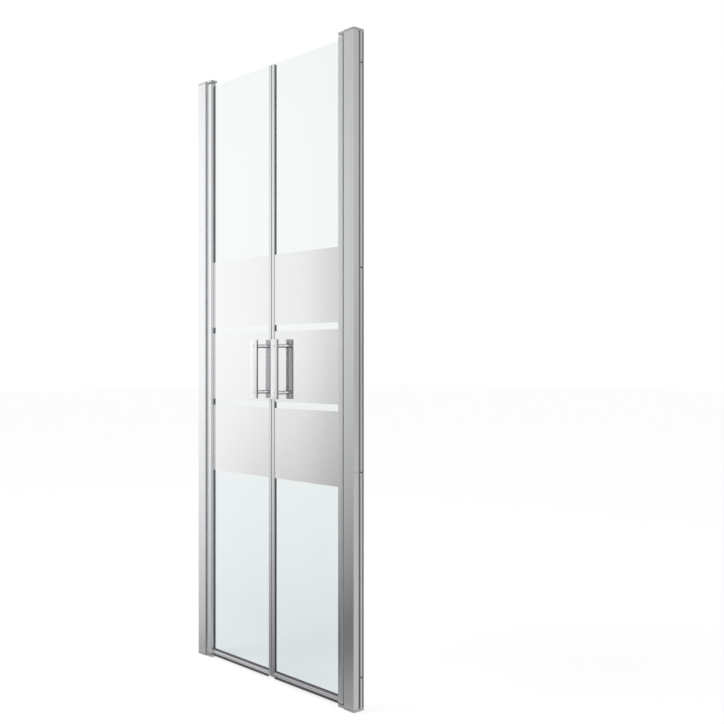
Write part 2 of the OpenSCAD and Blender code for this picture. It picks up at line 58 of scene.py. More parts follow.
# New pieces are modelled on the right and mirrored in X for the left
MIRRORED = (("right", 1), ("left", -1))
PANE_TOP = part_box("right_glass_pane")[1][2]
SLOT_COLOURS = {m["slot"]: tuple(m["base_color"][:3]) for m in frame["record"]["materials"]}
# Points of one mesh that are closer than this are one point, in a new piece and in a CAD node
DOUBLES = 0.000002
CAD_DOUBLES = 0.00001
# How deep a material that marks a face reaches under it
SKIN = 0.0002


def tint(name, description, default):
    """A colour property."""
    return FloatVectorProperty(name=name, description=description, subtype="COLOR", size=3,
                               min=0, max=1, default=default)


def colour(slot, name, description):
    """A colour property that starts at the record's colour for that material slot."""
    return tint(name, description, SLOT_COLOURS[slot])


def point(name, description, default):
    """A property for a place in metres."""
    return FloatVectorProperty(name=name, description=description, subtype="TRANSLATION",
                               unit="LENGTH", size=3, default=default)


def length(name, description, default):
    """A length property in metres."""
    return FloatProperty(name=name, description=description, default=default, min=0,
                         unit="LENGTH", precision=4)


class DoorFinish(bpy.types.PropertyGroup):
    """Colours and gloss of the door's surfaces."""
    aluminium: colour("aluminium", "Aluminium", "Satin anodised profiles")
    bracket: colour("bracket", "Bracket", "Cast top and bottom brackets")
    steel: colour("steel", "Steel", "Pins, screws, studs and nuts")
    chrome: colour("chrome", "Chrome", "Polished handles")
    mirror: colour("mirror", "Mirror", "Mirror coating on the panes")
    lining: colour("lining", "Lining", "Dark strips round the glass edges, and magnets")
    seal: colour("seal", "Seal", "Soft seals")
    plastic: colour("plastic", "Plastic", "Bushes, caps and washers")
    # Painted shade in part: the drip seals are near black, partly their own colour and partly the
    # shade under the rails
    drip: tint("Drip seal", "Soft seals under the bottom rails", (0.07, 0.07, 0.075))
    glass: tint("Glass", "Tint of the panes", (0.954, 0.9745, 0.969))
    # Painted shade: the panes' darker, bluer tint near the tray
    glass_foot_shade: tint("Glass at the foot", "Tint of the panes near the tray", (0.868, 0.9, 0.911))
    glass_edge: tint("Glass edge", "Green of the cut top edge", (0.36, 0.62, 0.55))
    aluminium_gloss: FloatProperty(name="Aluminium roughness", default=0.3, min=0.05, max=1,
                                   description="Mean roughness of the anodised surface",
                                   subtype="FACTOR")
    chrome_gloss: FloatProperty(name="Chrome roughness", default=0.08, min=0.02, max=1,
                                description="Mean roughness of the handles", subtype="FACTOR")


class DoorShape(bpy.types.PropertyGroup):
    """Sizes of the handles and of the broken edges."""
    bar_width: length("Bar width", "Width of a handle bar", 0.032)
    bar_length: length("Bar length", "Length of a handle bar", 0.186)
    bar_thick: length("Bar thickness", "Thickness of a handle bar", 0.005)
    bar_corner: length("Bar corner", "Radius of a handle bar's corners", 0.003)
    bar_edge: length("Bar edge", "Radius of a handle bar's long edges", 0.0002)
    pitch: length("Post pitch", "Between the two posts of a handle", 0.145)
    post: length("Post", "Diameter of a handle post", 0.012)
    mirror_gap: length("Mirror gap", "From the glass to the back of the mirror coating", 0.00003)
    profile_edge: length("Profile edge", "Radius of the profiles' edges", 0.0003)
    bracket_edge: length("Bracket edge", "Radius of the brackets' edges", 0.0008)


class DoorStudio(bpy.types.PropertyGroup):
    """Camera, floor and light."""
    place: point("Camera", "Where the camera stands", (2.5319, -1.9122, 0.9973))
    turn: FloatProperty(name="Turn", description="Angle between the view and the door's square",
                        subtype="ANGLE", unit="ROTATION", default=math.radians(47.881))
    lens: FloatProperty(name="Lens", description="Focal length in millimetres", default=50,
                        min=10, unit="CAMERA")
    shift_x: FloatProperty(name="Shift X", default=0.0003, precision=4,
                           description="Sideways shift of the lens")
    shift_y: FloatProperty(name="Shift Y", default=0.0, precision=4,
                           description="Upward shift of the lens")
    floor: tint("Floor", "Colour of the floor", (0.88, 0.88, 0.88))
    lift: FloatProperty(name="Floor lift", default=0.6, min=0, max=1, subtype="FACTOR",
                        description="Share of plain white in the floor where it is seen")
    white: FloatProperty(name="Floor white", description="Strength of the floor's plain white",
                         default=1.22, min=0)
    floor_size: length("Floor size", "Length of one side of the floor", 60)
    daylight: FloatProperty(name="World", description="Strength of the all-round light",
                            default=0.7, min=0)
    softbox: FloatProperty(name="Softbox", description="Power of the soft lamp in watts",
                           default=60, min=0)
    softbox_place: point("Softbox place", "Where the soft lamp hangs", (-1.6, -2.6, 3.4))
    softbox_aim: point("Softbox aim", "The point that the soft lamp faces", (0, 0, 0.9))
    softbox_width: length("Softbox width", "Width of the soft lamp", 2.4)
    softbox_depth: length("Softbox depth", "Depth of the soft lamp", 1.6)
    cove_reach: length("Cove reach", "Radius of the studio cove that the metal reflects", 1.7)
    cove_height: length("Cove height", "Height of the studio cove", 4.5)


class Number:
    """A number in a shader: arithmetic on it adds Math nodes."""

    def __init__(self, shader, socket):
        self.shader = shader
        self.socket = socket

    def _math(self, operation, *values, clamp=False):
        return self.shader.number("ShaderNodeMath", {"operation": operation, "use_clamp": clamp},
                                  dict(enumerate(values)))

    def __add__(self, other):
        return self._math("ADD", self, other)

    def __sub__(self, other):
        return self._math("SUBTRACT", self, other)

    def __rsub__(self, other):
        return self._math("SUBTRACT", other, self)

    def __mul__(self, other):
        return self._math("MULTIPLY", self, other)

    def __truediv__(self, other):
        return self._math("DIVIDE", self, other)

    def __rtruediv__(self, other):
        return self._math("DIVIDE", other, self)

    def __pow__(self, other):
        return self._math("POWER", self, other)

    def __rpow__(self, other):
        return self._math("POWER", other, self)

    __radd__ = __add__
    __rmul__ = __mul__

    def above(self, level):
        """1 where the number is above the level, 0 elsewhere."""
        return self._math("GREATER_THAN", self, level)

    def highest(self, other):
        """The greater of two numbers."""
        return self._math("MAXIMUM", self, other)

    def held(self):
        """The number kept between 0 and 1."""
        return self._math("ADD", self, 0.0, clamp=True)

    def size(self):
        """The number without its sign."""
        return self.highest(self * -1.0)

    def near(self, centre, reach):
        """1 at centre, falling to 0 at that reach to either side."""
        off = (self - centre) / reach
        return 1 - (off * off).held()

    def span(self, low, high):
        """0 at low, 1 at high and smooth in between."""
        return self.shader.number("ShaderNodeMapRange", {"interpolation_type": "SMOOTHSTEP"},
                                  {"Value": self, "From Min": low, "From Max": high})


class Shader:
    """Builds one node tree. node() makes any node: settings first, then socket values or links."""

    def __init__(self, tree):
        self.tree = tree
        tree.nodes.clear()

    def node(self, kind, settings=None, inputs=None):
        made = self.tree.nodes.new(kind)
        for key, value in (settings or {}).items():
            if key == "stops":
                self._stops(made.color_ramp, value)
            else:
                setattr(made, key, value)
        for key, value in (inputs or {}).items():
            socket = made.inputs[key]
            if isinstance(value, Number):
                value = value.socket
            if isinstance(value, bpy.types.NodeSocket):
                self.tree.links.new(value, socket)
            else:
                socket.default_value = value
        return made

    @staticmethod
    def _stops(ramp, stops):
        """Gives a colour ramp its (position, grey) stops."""
        ramp.interpolation = "EASE"
        while len(ramp.elements) < len(stops):
            ramp.elements.new(0.5)
        for element, (position, grey) in zip(ramp.elements, stops):
            element.position = position
            element.color = (grey, grey, grey, 1)

    def number(self, kind, settings=None, inputs=None, output=0):
        """One output of a new node, as a number to reckon with."""
        return Number(self, self.node(kind, settings, inputs).outputs[output])

    def place(self):
        """Object coordinates."""
        return self.node("ShaderNodeTexCoord").outputs["Object"]

    def axes(self, vector):
        """The three numbers of a vector."""
        parts = self.node("ShaderNodeSeparateXYZ", inputs={0: vector}).outputs
        return [Number(self, p) for p in parts]

    def scaled(self, vector, scale):
        """Coordinates stretched or squeezed along each axis."""
        return self.node("ShaderNodeMapping", inputs={"Vector": vector, "Scale": scale}).outputs[0]

    def noise(self, vector, scale, detail, rough=0.5):
        """A soft random number, with that many grains to a metre."""
        return self.number("ShaderNodeTexNoise", {"noise_dimensions": "3D"},
                           {"Vector": vector, "Scale": scale, "Detail": detail,
                            "Roughness": rough})

    def blend(self, factor, first, second):
        """A colour between two colours."""
        made = self.node("ShaderNodeMix", {"data_type": "RGBA"},
                         {"Factor": factor, 6: _rgba(first), 7: _rgba(second)})
        return made.outputs[2]

    def mixed(self, factor, first, second):
        """A shader between two shaders."""
        return self.node("ShaderNodeMixShader", inputs={
            0: factor, 1: first.outputs[0], 2: second.outputs[0]})

    def bump(self, height, depth, strength):
        """A normal for a height from 0 to 1 that stands for that depth."""
        return self.node("ShaderNodeBump", inputs={"Strength": strength, "Distance": depth,
                                                   "Height": height}).outputs[0]

    def principled(self, **inputs):
        """The main shader, its sockets named with _ for a space."""
        names = {key.replace("_", " "): value for key, value in inputs.items()}
        return self.node("ShaderNodeBsdfPrincipled", inputs=names)

    def show(self, shader, kind="ShaderNodeOutputMaterial"):
        """Makes a shader the one that the material or the world shows."""
        self.node(kind, inputs={"Surface": shader.outputs[0]})


def _rgba(value):
    """A socket as it is, or a colour with its alpha."""
    return value if isinstance(value, bpy.types.NodeSocket) else (*value, 1)


def toned(shade, factor):
    """A colour made lighter or darker."""
    return tuple(min(1, c * factor) for c in shade)


def finish_of(name, build):
    """A new material whose nodes build(shader) makes."""
    material = bpy.data.materials.new(name)
    material.use_nodes = True
    build(Shader(material.node_tree))
    return material


# The two grooves in the wall side of a wall profile, where shade is painted into the colour: the
# middle of each and half its width in Y, and how far out from the door's middle their floors begin
# and end
WALL_GROOVES = ((0.0094, 0.0022), (0.0195, 0.003))
GROOVE_FLOORS = (0.3953, 0.3998)
# The lip behind them, which gets painted shade too: how far out it begins, and where in Y
BACK_LIP = (0.3995, 0.0212)


def wall_painted_shade(s, spot):
    """1 in the wall-side grooves of a wall profile and on its back lip: the mask for painted shade.
    """
    x, y, _ = s.axes(spot)
    out = x.size()
    first, second = (y.near(middle, half) for middle, half in WALL_GROOVES)
    floors = out.above(GROOVE_FLOORS[0]) * (1 - out.above(GROOVE_FLOORS[1]))
    lip = out.above(BACK_LIP[0]) * y.above(BACK_LIP[1])
    return ((first + second) * floors).held().highest(lip)


def satin_aluminium(shade, gloss, along, grooves=None):
    """Anodised extrusion: fine drawn lines along its length, over a soft etched grain; given a
    mask, shade is painted into its colour there.
    """
    stretch = [1.0, 1.0, 1.0]
    stretch["XYZ".index(along)] = 0.004

    def build(s):
        spot = s.place()
        drawn = s.noise(s.scaled(spot, stretch), 900, 2)
        broad = s.noise(s.scaled(spot, stretch), 130, 2)
        grain = s.noise(spot, 2600, 2)
        tone = (drawn * 0.6 + broad * 0.4).span(0.3, 0.7)
        base = s.blend(tone, toned(shade, 0.965), toned(shade, 1.03))
        # Painted shade: the colour drops to 0.42 of itself where the mask is 1.
        if grooves:
            base = s.blend(grooves(s, spot), base, toned(shade, 0.42))
        s.show(s.principled(
            Base_Color=base, Metallic=1.0,
            Roughness=tone * 0.06 + grain * 0.04 + (gloss - 0.05),
            Normal=s.bump(drawn * 0.7 + grain * 0.3, 0.00002, 0.5)))
    return build


def cast_metal(shade, gloss):
    """Blasted casting: an even fine grain with slightly brighter high spots."""
    def build(s):
        spot = s.place()
        grain = s.noise(spot, 1500, 4, 0.6)
        cloud = s.noise(spot, 60, 2)
        s.show(s.principled(
            Base_Color=s.blend(grain.span(0.35, 0.65), toned(shade, 0.94), toned(shade, 1.05)),
            Metallic=1.0, Roughness=cloud * 0.1 + (gloss - 0.05),
            Normal=s.bump(grain, 0.00005, 0.5)))
    return build


def turned_steel(shade, gloss):
    """Turned bar: rings round the part and small bright scratches."""
    def build(s):
        spot = s.place()
        rings = s.noise(s.scaled(spot, (0.05, 0.05, 1)), 3000, 2)
        marks = s.noise(spot, 700, 4, 0.7)
        s.show(s.principled(
            Base_Color=s.blend(marks.span(0.4, 0.7), toned(shade, 0.93), toned(shade, 1.04)),
            Metallic=1.0, Roughness=rings * 0.12 + (gloss - 0.06),
            Normal=s.bump(rings, 0.00002, 0.4)))
    return build


# The backs of the handle bars get this share of the painted shade on their narrow sides
BACK_SHARE = 0.65
# A narrow side gets painted shade where its near() is above this, which leaves its round ends
# bright
END_LEVEL = 0.03


def bar_painted_shade(s, spot):
    """1 on the long narrow sides of the handle bars and less on their backs: the mask for painted
    shade.
    """
    x, y, z = s.axes(spot)
    out, depth = x.size(), y.size()
    low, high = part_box("right_front_handle_bar")
    off_ends = z.near((low[2] + high[2]) / 2, (high[2] - low[2]) / 2).above(END_LEVEL)
    sides = (1 - out.above(low[0] + SKIN)) + out.above(high[0] - SKIN)
    backs = 1 - depth.above(SKIN - high[1])
    return (sides * off_ends).highest(backs * BACK_SHARE)


def polished_chrome(shade, gloss, shade_mask=None):
    """Polished plate with a faint haze of wipe marks; given a mask, shade is painted into its
    colour there.
    """
    def build(s):
        spot = s.place()
        haze = s.noise(s.scaled(spot, (1, 1, 0.25)), 160, 4, 0.65)
        wipe = s.noise(s.scaled(spot, (1, 1, 0.02)), 1800, 2)
        base = s.blend(haze.span(0.35, 0.7), toned(shade, 1.02), toned(shade, 0.95))
        # Painted shade: the colour drops to 0.3 of itself on the bars' narrow sides, and part way
        # on their backs.
        if shade_mask:
            base = s.blend(shade_mask(s, spot), base, toned(shade, 0.3))
        s.show(s.principled(
            Base_Color=base, Metallic=1.0,
            Roughness=haze * 0.06 + wipe * 0.02 + (gloss - 0.04),
            Normal=s.bump(wipe, 0.00001, 0.08)))
    return build


# Up to this height the panes have their foot's darker tint, which is painted shade,
# and over the next stretch it fades
TINT_FULL = 0.2
TINT_FADE = 1.3


def clear_glass(look):
    """Toughened glass: clear with a blue-green cast, a little mirror-like at a flat angle, with
    shade painted into it towards its foot.
    """
    def build(s):
        spot = s.place()
        height = s.axes(spot)[2]
        wave = s.noise(s.scaled(spot, (1, 1, 0.35)), 5, 1)
        haze = s.noise(spot, 14, 3)
        gloss = s.principled(Base_Color=(1, 1, 1, 1), Metallic=1.0,
                             Roughness=haze.span(0.45, 0.8) * 0.02,
                             Normal=s.bump(wave, 0.0002, 0.15))
        clear, foot = (s.node("ShaderNodeBsdfTransparent", inputs={"Color": (*shade, 1)})
                       for shade in (look.glass, look.glass_foot_shade))
        # Painted shade: the tint darkens towards the foot of the pane.
        low = (1 - ((height - TINT_FULL) / TINT_FADE + (haze - 0.5) * 0.1).held()) ** 2
        body = s.mixed(low, clear, foot)
        facing = s.number("ShaderNodeLayerWeight", inputs={"Blend": 0.5}, output=1)
        inside = s.number("ShaderNodeNewGeometry", output="Backfacing")
        body = s.mixed((facing ** 2 * 0.45 + 0.04) * (1 - inside), body, gloss)
        grind = s.noise(spot, 1500, 3)
        edge = s.principled(Base_Color=s.blend(grind, toned(look.glass_edge, 0.85),
                                               toned(look.glass_edge, 1.15)),
                            Roughness=grind * 0.2 + 0.25, Normal=s.bump(grind, 0.00005, 0.3))
        s.show(s.mixed(height.above(PANE_TOP - SKIN / 2) * (1 - inside) * 0.85, body, edge))
    return build


def mirror_coating(shade):
    """Vapour-deposited coating: mirror-bright with a barely seen haze."""
    def build(s):
        spot = s.place()
        haze = s.noise(spot, 40, 4, 0.6)
        pin = s.noise(spot, 1200, 1)
        s.show(s.principled(
            Base_Color=s.blend(haze.span(0.3, 0.7), shade, toned(shade, 0.985)),
            Metallic=1.0, Roughness=haze * 0.02 + pin.span(0.72, 0.8) * 0.1 + 0.01))
    return build


def soft_rubber(shade, gloss, along="Z"):
    """Extruded soft strip: die lines along its length and a dusty matt grain."""
    stretch = [1.0, 1.0, 1.0]
    stretch["XYZ".index(along)] = 0.01

    def build(s):
        spot = s.place()
        lines = s.noise(s.scaled(spot, stretch), 1400, 2)
        dust = s.noise(spot, 900, 3, 0.6)
        s.show(s.principled(
            Base_Color=s.blend(dust.span(0.35, 0.75), toned(shade, 0.9), toned(shade, 1.15)),
            Roughness=dust * 0.15 + (gloss - 0.07),
            Normal=s.bump(lines * 0.6 + dust * 0.4, 0.00005, 0.5)))
    return build


def moulded_plastic(shade, gloss):
    """Spark-eroded mould finish."""
    def build(s):
        spot = s.place()
        grain = s.noise(spot, 1900, 3, 0.55)
        cloud = s.noise(spot, 120, 2)
        s.show(s.principled(
            Base_Color=s.blend(cloud.span(0.3, 0.7), toned(shade, 0.96), toned(shade, 1.03)),
            Roughness=cloud * 0.1 + (gloss - 0.05),
            Normal=s.bump(grain, 0.00004, 0.5)))
    return build


def dress(nodes, material):
    """Gives CAD nodes of both sides one material."""
    for side in SIDES:
        for node in nodes:
            for slot in frame["nodes"][f"{side}_{node}"].material_slots:
                slot.material = material


class DOOR_OT_frame_finish(bpy.types.Operator):
    """Finish the wall profiles, adjusting profiles, brackets, pins, screws and seals."""
    bl_idname = "shower_door.frame_finish"
    bl_label = "Frame finish"

    def execute(self, context):
        look = context.scene.door_finish
        dress(("wall_profile",), finish_of("wall_aluminium", satin_aluminium(
            look.aluminium, look.aluminium_gloss, "Z", wall_painted_shade)))
        dress(("adjusting_profile",), finish_of(
            "satin_aluminium", satin_aluminium(look.aluminium, look.aluminium_gloss, "Z")))
        dress(("top_bracket", "bottom_bracket"), finish_of(
            "cast_bracket", cast_metal(look.bracket, gloss=0.32)))
        dress(("pivot_pins", "bracket_screws", "clamp_screws", "clamp_nuts"), finish_of(
            "frame_steel", turned_steel(look.steel, gloss=0.25)))
        dress(("pivot_seal",), finish_of("pivot_rubber", soft_rubber(look.seal, gloss=0.6)))
        return {"FINISHED"}


class DOOR_OT_leaf_finish(bpy.types.Operator):
    """Finish the turning and meeting profiles, linings, seals, caps and magnets."""
    bl_idname = "shower_door.leaf_finish"
    bl_label = "Leaf finish"

    def execute(self, context):
        look = context.scene.door_finish
        dress(("turning_profile", "meeting_profile"), finish_of(
            "leaf_aluminium", satin_aluminium(look.aluminium, look.aluminium_gloss, "Z")))
        dress(("hinge_lining", "meeting_lining"), finish_of(
            "upright_lining", soft_rubber(look.lining, gloss=0.55)))
        dress(("rail_lining",), finish_of(
            "rail_lining", soft_rubber(look.lining, gloss=0.55, along="X")))
        # The drip seals' near-black colour is partly painted shade under the rails.
        dress(("drip_seal",), finish_of(
            "drip_rubber", soft_rubber(look.drip, gloss=0.5, along="X")))
        dress(("hinge_bushes", "rail_end_caps"), finish_of(
            "moulded_plastic", moulded_plastic(look.plastic, gloss=0.45)))
        dress(("magnet_strip",), finish_of("magnet_rubber", soft_rubber(look.lining, gloss=0.7)))
        return {"FINISHED"}


class DOOR_OT_pane_finish(bpy.types.Operator):
    """Finish the glass panes."""
    bl_idname = "shower_door.pane_finish"
    bl_label = "Pane finish"

    def execute(self, context):
        look = context.scene.door_finish
        dress(("glass_pane",), finish_of("clear_glass", clear_glass(look)))
        for side in SIDES:
            pane = frame["nodes"][f"{side}_glass_pane"]
            pane.visible_shadow = False
            pane.visible_diffuse = False
        return {"FINISHED"}


def broken_edges(nodes, radius):
    """Gives CAD nodes of both sides live modifiers that take the sharpness off their edges."""
    for side in SIDES:
        for node in nodes:
            shape = frame["nodes"][f"{side}_{node}"]
            weld = shape.modifiers.new("weld", "WELD")
            weld.merge_threshold = CAD_DOUBLES
            edge = shape.modifiers.new("broken_edge", "BEVEL")
            edge.width = radius
            edge.segments = 2
            edge.angle_limit = math.radians(50)
            edge.use_clamp_overlap = True


class DOOR_OT_edges(bpy.types.Operator):
    """Break the edges of the profiles, caps and brackets."""
    bl_idname = "shower_door.edges"
    bl_label = "Broken edges"

    def execute(self, context):
        shape = context.scene.door_shape
        broken_edges(("wall_profile", "turning_profile", "meeting_profile", "rail_end_caps"),
                     shape.profile_edge)
        broken_edges(("top_bracket", "bottom_bracket"), shape.bracket_edge)
        return {"FINISHED"}


def only(piece):
    """Leaves one object selected and active."""
    bpy.ops.object.select_all(action="DESELECT")
    piece.select_set(True)
    bpy.context.view_layer.objects.active = piece


def select_edges(piece, wanted):
    """Selects the edges whose two ends, as vectors, satisfy wanted, and no others."""
    mesh = piece.data
    bpy.ops.object.mode_set(mode="EDIT")
    bpy.ops.mesh.select_mode(type="EDGE")
    bpy.ops.mesh.select_all(action="DESELECT")
    bpy.ops.object.mode_set(mode="OBJECT")
    for edge in mesh.edges:
        edge.select = wanted(*(mesh.vertices[v].co for v in edge.vertices))
    bpy.ops.object.mode_set(mode="EDIT")


def ring(name, points):
    """A closed ring of edges through those points, as the active object."""
    bpy.ops.object.select_all(action="DESELECT")
    bpy.ops.mesh.primitive_circle_add(vertices=len(points), radius=0.01)
    piece = bpy.context.object
    piece.name = name
    for vertex, place in zip(piece.data.vertices, points):
        vertex.co = place
    return piece


def turned(name, outline):
    """A closed outline of (radius, y) points spun round the Y axis."""
    piece = ring(name, [(radius, y, 0) for radius, y in outline])
    bpy.ops.object.mode_set(mode="EDIT")
    bpy.ops.mesh.select_all(action="SELECT")
    bpy.ops.mesh.spin(steps=48, angle=math.tau, center=(0, 0, 0), axis=(0, 1, 0))
    bpy.ops.mesh.select_all(action="SELECT")
    bpy.ops.mesh.remove_doubles(threshold=DOUBLES)
    bpy.ops.mesh.normals_make_consistent(inside=False)
    bpy.ops.object.mode_set(mode="OBJECT")
    bpy.ops.object.shade_smooth_by_angle(angle=math.radians(30))
    return piece


def drawn(name, outline, start, end):
    """A closed outline of (y, z) points drawn out along X, as an extrusion."""
    piece = ring(name, [(start, y, z) for y, z in outline])
    bpy.ops.object.mode_set(mode="EDIT")
    bpy.ops.mesh.select_all(action="SELECT")
    bpy.ops.mesh.edge_face_add()
    bpy.ops.mesh.extrude_region_move(TRANSFORM_OT_translate={"value": (end - start, 0, 0)})
    bpy.ops.mesh.select_all(action="SELECT")
    bpy.ops.mesh.normals_make_consistent(inside=False)
    bpy.ops.object.mode_set(mode="OBJECT")
    bpy.ops.object.shade_smooth_by_angle(angle=math.radians(28))
    return piece


def copy_of(piece, name, across=1, through=1, up=0.0):
    """A copy with its own mesh, mirrored in X (across) or Y (through) with -1, moved up."""
    copy = piece.copy()
    copy.data = piece.data.copy()
    copy.name = name
    bpy.context.collection.objects.link(copy)
    copy.data.transform(Matrix.Translation((0, 0, up)) @ Matrix.Diagonal((across, through, 1, 1)))
    if across * through < 0:
        copy.data.flip_normals()
    return copy


def joined(pieces, name):
    """Several pieces made one, in the mesh of the first."""
    bpy.ops.object.select_all(action="DESELECT")
    for piece in pieces:
        piece.select_set(True)
    bpy.context.view_layer.objects.active = pieces[0]
    bpy.ops.object.join()
    pieces[0].name = name
    return pieces[0]


def middle_of(node):
    """The middle of a CAD node's box."""
    return [(low + high) / 2 for low, high in zip(*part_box(node))]


def fitted(piece, side, node, material):
    """Dresses a piece of the right or left leaf, which stands for a CAD node."""
    if not piece.data.polygons:
        raise RuntimeError(f"{piece.name} has no faces")
    piece.data.materials.clear()
    piece.data.materials.append(material)
    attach(piece, f"{side}_leaf")
    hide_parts(f"{side}_{node}")


class DOOR_OT_mirror_bands(bpy.types.Operator):
    """Model the mirror bands: the CAD sheets with their backs lifted clear of the glass."""
    bl_idname = "shower_door.mirror_bands"
    bl_label = "Mirror bands"

    def execute(self, context):
        look, shape = context.scene.door_finish, context.scene.door_shape
        material = finish_of("mirror_coating", mirror_coating(look.mirror))
        for side in SIDES:
            node = frame["nodes"][f"{side}_mirror_bands"]
            middle = middle_of(f"{side}_mirror_bands")[1]
            bands = node.copy()
            bands.data = node.data.copy()
            bands.name = f"{side}_mirror"
            context.collection.objects.link(bands)
            only(bands)
            bpy.ops.object.mode_set(mode="EDIT")
            bpy.ops.mesh.select_all(action="SELECT")
            bpy.ops.mesh.remove_doubles(threshold=DOUBLES)
            bpy.ops.mesh.select_all(action="DESELECT")
            bpy.ops.object.mode_set(mode="OBJECT")
            for vertex in bands.data.vertices:
                vertex.select = vertex.co.y > middle
            bpy.ops.object.mode_set(mode="EDIT")
            bpy.ops.mesh.select_mode(type="VERT")
            bpy.ops.transform.translate(value=(0, -shape.mirror_gap, 0))
            bpy.ops.object.mode_set(mode="OBJECT")
            fitted(bands, side, "mirror_bands", material)
        return {"FINISHED"}


# Front half of the bottom rail's section, from the seal slot round to the glass slot, as shares
# of half the rail's depth and of its height
RAIL_SECTION = ((0.583, 0.29), (0.583, 0), (0.64, 0), (0.76, 0.13), (0.87, 0.28), (0.95, 0.44),
                (1, 0.62), (1, 0.73), (0.945, 0.83), (0.75, 1), (0.633, 1), (0.633, 0.415))


class DOOR_OT_bottom_rails(bpy.types.Operator):
    """Model the bottom rails, with a crowned face between the glass slot and the seal slot."""
    bl_idname = "shower_door.bottom_rails"
    bl_label = "Bottom rails"

    def execute(self, context):
        look = context.scene.door_finish
        low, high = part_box("right_bottom_rail")
        half, height = high[1], high[2] - low[2]
        front = [(y * half, low[2] + z * height) for y, z in RAIL_SECTION]
        rail = drawn("rail", front + [(-y, z) for y, z in reversed(front)], low[0], high[0])
        material = finish_of("rail_aluminium", satin_aluminium(
            look.aluminium, look.aluminium_gloss, "X"))
        for side, across in MIRRORED:
            fitted(copy_of(rail, f"{side}_rail", across), side, "bottom_rail", material)
        bpy.data.objects.remove(rail)
        return {"FINISHED"}


# Seat and clearance hole of a screw in a bar, as (radius, depth under the bar's face)
SCREW_SEAT = ((0, -0.001), (0.00385, -0.001), (0.0036, 0.0003), (0.0036, 0.002), (0.0021, 0.002),
              (0.0021, 0.009), (0, 0.009))


class DOOR_OT_handle_bars(bpy.types.Operator):
    """Model the handle bars: flat bar with round corners, soft edges and screw seats."""
    bl_idname = "shower_door.handle_bars"
    bl_label = "Handle bars"

    def execute(self, context):
        shape, look = context.scene.door_shape, context.scene.door_finish
        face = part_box("right_front_handle_bar")[0][1]
        centre = middle_of("right_front_handle_bar")
        bar = self._plate(shape, centre)
        self._screw_seats(bar, shape, centre, face)
        # The bars get painted shade on their narrow sides and backs.
        material = finish_of("handle_bar_chrome", polished_chrome(
            look.chrome, look.chrome_gloss, bar_painted_shade))
        for side, across in MIRRORED:
            for place, through in (("front", 1), ("rear", -1)):
                fitted(copy_of(bar, f"{side}_{place}_bar", across, through), side,
                       f"{place}_handle_bar", material)
        bpy.data.objects.remove(bar)
        return {"FINISHED"}

    @staticmethod
    def _plate(shape, centre):
        """The flat bar, its corners rounded first and then its edges."""
        bpy.ops.object.select_all(action="DESELECT")
        bpy.ops.mesh.primitive_cube_add(size=1, location=centre, scale=(
            shape.bar_width, shape.bar_thick, shape.bar_length))
        bar = bpy.context.object
        bpy.ops.object.transform_apply(location=True, rotation=True, scale=True)
        select_edges(bar, lambda a, b: abs(a.y - b.y) > shape.bar_thick / 2)
        bpy.ops.mesh.bevel(offset=shape.bar_corner, segments=6, affect="EDGES")
        select_edges(bar, lambda a, b: abs(a.y - b.y) < shape.bar_thick / 2)
        bpy.ops.mesh.bevel(offset=shape.bar_edge, segments=3, affect="EDGES")
        bpy.ops.object.mode_set(mode="OBJECT")
        return bar

    @staticmethod
    def _screw_seats(bar, shape, centre, face):
        """Bores a clearance hole and a seat for the screw head at each post."""
        for rise in (-shape.pitch / 2, shape.pitch / 2):
            seat = turned("seat", [(radius, face + depth) for radius, depth in SCREW_SEAT])
            seat.data.transform(Matrix.Translation((centre[0], 0, centre[2] + rise)))
            only(bar)
            cut = bar.modifiers.new("seat", "BOOLEAN")
            cut.operation = "DIFFERENCE"
            cut.solver = "EXACT"
            cut.object = seat
            bpy.ops.object.modifier_apply(modifier=cut.name)
            bpy.data.objects.remove(seat)
        only(bar)
        bpy.ops.object.shade_smooth_by_angle(angle=math.radians(25))


# How far the posts' feet stand off the middle of the glass, on the room and the shower side
POST_FEET = (0.0043, 0.004)
FOOT_CHAMFER = 0.0004
BAR_CHAMFER = 0.0005
# The fine groove near a post's foot: where it starts, is full, begins to end and is closed
POST_GROOVE = (0.0018, 0.0021, 0.0027, 0.003)
GROOVE_DEPTH = 0.0003
# Radii of the bores for the stud and for the screw, and how deep the stud's goes
STUD_BORE = 0.00305
SCREW_BORE = 0.00205
STUD_DEPTH = 0.0105


def post_section(radius, foot, head):
    """Half the section of a post from its foot at the glass to its head at the bar."""
    out = math.copysign(1, head)
    start, full, end, closed = (foot + out * along for along in POST_GROOVE)
    stud_end = foot + out * STUD_DEPTH
    return ((STUD_BORE, foot), (radius - FOOT_CHAMFER, foot), (radius, foot + out * FOOT_CHAMFER),
            (radius, start), (radius - GROOVE_DEPTH, full), (radius - GROOVE_DEPTH, end),
            (radius, closed), (radius, head - out * BAR_CHAMFER), (radius - BAR_CHAMFER, head),
            (SCREW_BORE, head), (SCREW_BORE, stud_end), (STUD_BORE, stud_end))


